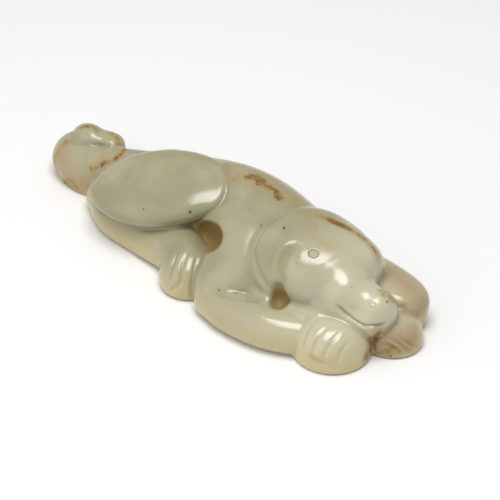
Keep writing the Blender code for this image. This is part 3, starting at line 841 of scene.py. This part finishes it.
# %% [markdown]
# The body colour is built up in layers: grey and pale clouds about a centimetre across, clearer stone
# toward the muzzle, and a painted creamy glow toward the foot, standing for light that comes through where
# the pebble is thin.

# %% The body: clouds, the clear head and the painted glow of the foot
CLOUD_SIZE = 13.0
HEAD_STARTS, HEAD_CLEAR = 14.0, 33.0
CREAM_TOP, CREAM_FOOT, CREAM_SHARE = 6.5, 0.5, 0.8

jade.use_nodes = True
layers = jade.node_tree
shader = layers.nodes["Principled BSDF"]
place = add(layers, "ShaderNodeTexCoord").outputs["Object"]
sides = add(layers, "ShaderNodeSeparateXYZ", {0: place}).outputs
drift = add(layers, "ShaderNodeTexNoise", {"Vector": place, "Scale": 1 / (CLOUD_SIZE * MM), "Detail": 3.0,
                                           "Roughness": 0.5, "Distortion": 0.4})
clouds = add(layers, "ShaderNodeMapRange", {"Value": drift.outputs[0], "From Min": 0.38, "From Max": 0.62},
             interpolation_type="SMOOTHSTEP")
head_share = add(layers, "ShaderNodeMapRange", {"Value": sides["X"], "From Min": HEAD_STARTS * MM,
                                                "From Max": HEAD_CLEAR * MM},
                 interpolation_type="SMOOTHSTEP")
# Painted glow: the lowest millimetres of the stone turn creamy, for light that comes through near the base.
foot_glow_share = add(layers, "ShaderNodeMapRange", {"Value": sides["Z"], "From Min": CREAM_TOP * MM,
                                                "From Max": CREAM_FOOT * MM, "To Max": CREAM_SHARE},
                 interpolation_type="SMOOTHSTEP")
cloudy = add(layers, "ShaderNodeMix", {0: clouds.outputs[0], 6: GREY_CELADON, 7: PALE_CELADON},
             data_type="RGBA")
clear = add(layers, "ShaderNodeMix", {0: head_share.outputs[0], 6: cloudy.outputs[2], 7: CLEAR_CELADON},
            data_type="RGBA")
body = add(layers, "ShaderNodeMix", {0: foot_glow_share.outputs[0], 6: clear.outputs[2], 7: CREAM_GLOW},
           data_type="RGBA")
print("body layers:", len(layers.nodes), "nodes")

# %% [markdown]
# Iron soaks in along cracks, so a stain is ragged at two scales: lobes of about 3 mm, and grain of
# about half a millimetre. Where it is weak the stone turns tan, and only its strongest middle is
# russet, mottled with ochre.

# %% Stains over the body
LOBE_SIZE, GRAIN_SIZE, MOTTLE_SIZE = 3.2, 0.6, 0.9
LOBE_PULL, GRAIN_PULL, RAGGED_MIDDLE = 1.3, 1.0, -1.15
RAGGED_SHARE = 1.7
TAN_STARTS, TAN_FULL, TAN_SHARE = 0.08, 0.7, 0.9
RUST_STARTS, RUST_FULL, RUST_SHARE = 0.5, 0.85, 0.95

stain = add(layers, "ShaderNodeAttribute", attribute_name="stain").outputs["Fac"]
warm = add(layers, "ShaderNodeAttribute", attribute_name="warm").outputs["Fac"]
lobes = add(layers, "ShaderNodeTexNoise", {"Vector": place, "Scale": 1 / (LOBE_SIZE * MM), "Detail": 3.0,
                                           "Roughness": 0.6, "Distortion": 1.0})
grain = add(layers, "ShaderNodeTexNoise", {"Vector": place, "Scale": 1 / (GRAIN_SIZE * MM), "Detail": 4.0,
                                           "Roughness": 0.65, "Distortion": 0.6})
mottle = add(layers, "ShaderNodeTexNoise", {"Vector": place, "Scale": 1 / (MOTTLE_SIZE * MM), "Detail": 3.0,
                                            "Roughness": 0.6})
grainy = add(layers, "ShaderNodeMath", {0: grain.outputs[0], 1: GRAIN_PULL, 2: RAGGED_MIDDLE},
             operation="MULTIPLY_ADD")
ragged = add(layers, "ShaderNodeMath", {0: lobes.outputs[0], 1: LOBE_PULL, 2: grainy.outputs[0]},
             operation="MULTIPLY_ADD")
pull = add(layers, "ShaderNodeMath", {0: stain, 1: RAGGED_SHARE}, operation="MULTIPLY")
strength = add(layers, "ShaderNodeMath", {0: ragged.outputs[0], 1: pull.outputs[0], 2: stain},
               operation="MULTIPLY_ADD")
tan_share = add(layers, "ShaderNodeMapRange", {"Value": strength.outputs[0], "From Min": TAN_STARTS,
                                               "From Max": TAN_FULL, "To Max": TAN_SHARE},
                interpolation_type="SMOOTHSTEP")
rust_share = add(layers, "ShaderNodeMapRange", {"Value": strength.outputs[0], "From Min": RUST_STARTS,
                                                "From Max": RUST_FULL, "To Max": RUST_SHARE},
                 interpolation_type="SMOOTHSTEP")
ochre_share = add(layers, "ShaderNodeMapRange", {"Value": mottle.outputs[0], "From Min": 0.42,
                                                 "From Max": 0.6}, interpolation_type="SMOOTHSTEP")
rust = add(layers, "ShaderNodeMix", {0: ochre_share.outputs[0], 6: RUSSET, 7: OCHRE}, data_type="RGBA")
warmed = add(layers, "ShaderNodeMix", {0: warm, 6: body.outputs[2], 7: WARM_TAN}, data_type="RGBA")
tanned = add(layers, "ShaderNodeMix", {0: tan_share.outputs[0], 6: warmed.outputs[2], 7: TAN},
             data_type="RGBA")
rusty = add(layers, "ShaderNodeMix", {0: rust_share.outputs[0], 6: tanned.outputs[2], 7: rust.outputs[2]},
            data_type="RGBA")
print("with stains:", len(layers.nodes), "nodes")

# %% [markdown]
# Wax and dust, with painted shade, darken the hollows a little, and the drilled walls are painted olive,
# partly as painted shade deep in the pits.

# %% Dust and painted shade in the hollows, and the drilled walls
DUST_AND_SHADE_SHARE, WALL_SHARE = 0.22, 0.85
hollow_dust_and_shade = add(layers, "ShaderNodeAttribute", attribute_name="hollow").outputs["Fac"]
matt_wall = add(layers, "ShaderNodeAttribute", attribute_name="drilled").outputs["Fac"]
dust_and_shade_share = add(layers, "ShaderNodeMath", {0: hollow_dust_and_shade, 1: DUST_AND_SHADE_SHARE}, operation="MULTIPLY")
wall_share = add(layers, "ShaderNodeMath", {0: matt_wall, 1: WALL_SHARE}, operation="MULTIPLY")
# Painted shade: the hollows are darkened toward the dust colour, for dust and for the shade in the creases.
dusted_and_shaded = add(layers, "ShaderNodeMix", {0: dust_and_shade_share.outputs[0], 6: rusty.outputs[2], 7: DUST_AND_SHADE},
            data_type="RGBA")
# Painted shade: the drilled walls turn olive, partly standing for the dim light deep in the pits.
olive_shaded_walls = add(layers, "ShaderNodeMix", {0: wall_share.outputs[0], 6: dusted_and_shaded.outputs[2], 7: OLIVE_AND_PIT_SHADE},
             data_type="RGBA")
print("with dust, painted shade and walls:", len(layers.nodes), "nodes")

# %% [markdown]
# A speck is a dark spot round its place, and so are the eye's disc and the two circles whose difference is
# a dark line painted round the disc, on the wall of its cut. The disc itself was never polished.

# %% Specks and the eye
SPECK_EDGE, DISC_RADIUS, DISC_EDGE = 0.1, 0.8, 0.12
RING_OUTSIDE, RING_INSIDE, RING_EDGE = 0.9, 0.76, 0.14
SPECK_SHARE, DISC_SHARE, RING_SHARE = 0.85, 0.25, 0.4

eye = on_stone(EYE)
spots = [(*speck, SPECK_EDGE) for speck in SPECKS]
spots += [(*eye, DISC_RADIUS, DISC_EDGE), (*eye, RING_OUTSIDE, RING_EDGE), (*eye, RING_INSIDE, RING_EDGE)]
shades = []
for x, y, z, radius, edge in spots:
    apart = add(layers, "ShaderNodeVectorMath", {0: place, 1: in_part((x, y, z))}, operation="DISTANCE")
    shade = add(layers, "ShaderNodeMapRange", {"Value": apart.outputs["Value"], "From Min": radius * MM,
                                               "From Max": (radius - edge) * MM},
                interpolation_type="SMOOTHSTEP")
    shades.append(shade.outputs[0])
*speck_shades, disc, ring_outside, ring_inside = shades
speckled = speck_shades[0]
for shade in speck_shades[1:]:
    speckled = add(layers, "ShaderNodeMath", {0: speckled, 1: shade}, operation="MAXIMUM").outputs[0]
circle = add(layers, "ShaderNodeMath", {0: ring_outside, 1: ring_inside}, operation="SUBTRACT").outputs[0]
colour = olive_shaded_walls.outputs[2]
for shade, share, tint in ((speckled, SPECK_SHARE, SPECK), (disc, DISC_SHARE, TAN),
                           (circle, RING_SHARE, SPECK)):
    amount = add(layers, "ShaderNodeMath", {0: shade, 1: share}, operation="MULTIPLY")
    colour = add(layers, "ShaderNodeMix", {0: amount.outputs[0], 6: colour, 7: tint},
                 data_type="RGBA").outputs[2]
layers.links.new(colour, shader.inputs["Base Color"])
print("with specks and the eye:", len(layers.nodes), "nodes")

# %% [markdown]
# Nephrite's index is 1.61. The polish is a little uneven over every few millimetres, stains are
# slightly pitted, and stains, drilled walls and the eye's disc are less glossy than the rest. The
# highlight is therefore broad and soft, as on wax, and the edges glow faintly.

# %% The polish
POLISH, WORN = 0.2, 0.35
RIPPLE_SIZE, STAIN_PITS = 3.0, -2.5
worn = add(layers, "ShaderNodeMath", {0: stain, 1: matt_wall}, operation="MAXIMUM")
worn = add(layers, "ShaderNodeMath", {0: worn.outputs[0], 1: disc}, operation="MAXIMUM")
gloss = add(layers, "ShaderNodeMath", {0: worn.outputs[0], 1: WORN, 2: POLISH}, operation="MULTIPLY_ADD")
layers.links.new(gloss.outputs[0], shader.inputs["Roughness"])
ripple = add(layers, "ShaderNodeTexNoise", {"Vector": place, "Scale": 1 / (RIPPLE_SIZE * MM), "Detail": 1.0,
                                            "Roughness": 0.4})
pitted = add(layers, "ShaderNodeMath", {0: stain, 1: grain.outputs[0]}, operation="MULTIPLY")
height = add(layers, "ShaderNodeMath", {0: pitted.outputs[0], 1: STAIN_PITS, 2: ripple.outputs[0]},
             operation="MULTIPLY_ADD")
bump = add(layers, "ShaderNodeBump", {"Strength": 0.6, "Distance": 0.05 * MM, "Height": height.outputs[0]})
layers.links.new(bump.outputs[0], shader.inputs["Normal"])
shader.inputs["IOR"].default_value = 1.61
shader.inputs["Subsurface Weight"].default_value = 0.3
shader.inputs["Subsurface Radius"].default_value = (1.0, 0.85, 0.55)
shader.inputs["Subsurface Scale"].default_value = 2.5 * MM
print("polished nephrite:", len(layers.nodes), "nodes")

# %% [markdown]
# The finished dog takes the solid's place on the body, and is named for its stone.

# %% The finished dog
dog.data.materials.clear()
dog.data.materials.append(jade)
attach(dog, "root")
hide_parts(NODE)
print(dog.name, "carries", [layer.name for layer in dog.data.attributes if layer.data_type == "FLOAT"])

# %% [markdown]
# ## Floor, light and camera
#
# The dog lies on a plain pale table in a bright even room.

# %% Floor and room
FLOOR_SIZE = 3.0
FLOOR_SHADE, FLOOR_ROUGHNESS = 0.87, 0.8
ROOM_STRENGTH = 0.49
bpy.ops.mesh.primitive_plane_add(size=FLOOR_SIZE, location=(0, 0, 0))
floor = bpy.context.object
floor.name = "pale_table"
table_top = bpy.data.materials.new("matt_white_table")
table_top.use_nodes = True
table_shader = table_top.node_tree.nodes["Principled BSDF"]
table_shader.inputs["Base Color"].default_value = (FLOOR_SHADE, FLOOR_SHADE, FLOOR_SHADE, 1)
table_shader.inputs["Roughness"].default_value = FLOOR_ROUGHNESS
floor.data.materials.append(table_top)

world = bpy.data.worlds.new("even_room")
bpy.context.scene.world = world
world.use_nodes = True
world.node_tree.nodes["Background"].inputs["Color"].default_value = (1.0, 1.0, 1.0, 1.0)
world.node_tree.nodes["Background"].inputs["Strength"].default_value = ROOM_STRENGTH
bpy.context.scene.view_settings.view_transform = "Standard"
print("floor, m:", FLOOR_SIZE, "room strength", ROOM_STRENGTH)

# %% [markdown]
# One soft light hangs overhead and a little in front, and gives the highlights on the haunch, the
# shoulder and the brow. A wide weak one to the left lifts the near side.

# %% Lights
def soft_light(name, place_mm, size_mm, watts):
    """A square softbox aimed at the dog."""
    lamp = bpy.data.lights.new(name, "AREA")
    lamp.size = size_mm * MM
    lamp.energy = watts
    made = bpy.data.objects.new(name, lamp)
    bpy.context.scene.collection.objects.link(made)
    made.location = Vector(place_mm) * MM
    made.rotation_euler = (-made.location).to_track_quat("-Z", "Y").to_euler()
    print(name, "at, mm:", np.round(place_mm), "watts", watts)


toward_back = -view_back * np.array([1, 1, 0]) / np.linalg.norm(view_back[:2])
OVERHEAD = toward_back * -40 + np.array([0, 0, 300])
LEFT_AND_NEAR = view_right * -260 - toward_back * 150 + np.array([0, 0, 130])
soft_light("overhead_softbox", OVERHEAD, size_mm=160, watts=0.6)
soft_light("side_fill", LEFT_AND_NEAR, size_mm=400, watts=0.3)

# %% [markdown]
# The lens is as long as the picture's scale asks for at half a metre, so the dog is drawn with
# hardly any perspective, as in the photograph.

# %% Camera
camera_data = bpy.data.cameras.new("photographer")
camera_data.sensor_width = 36.0
camera_data.lens = PIXELS_PER_MM * CAMERA_AWAY * camera_data.sensor_width / PIXELS
camera = bpy.data.objects.new("photographer", camera_data)
bpy.context.scene.collection.objects.link(camera)
camera_turn = Matrix(np.stack([view_right, view_up, view_back], 1).tolist()).to_4x4()
camera.matrix_world = Matrix.Translation((eye_point - LAYOUT_MIDDLE) * MM) @ camera_turn
bpy.context.scene.camera = camera
print("lens, mm:", round(camera_data.lens, 1))
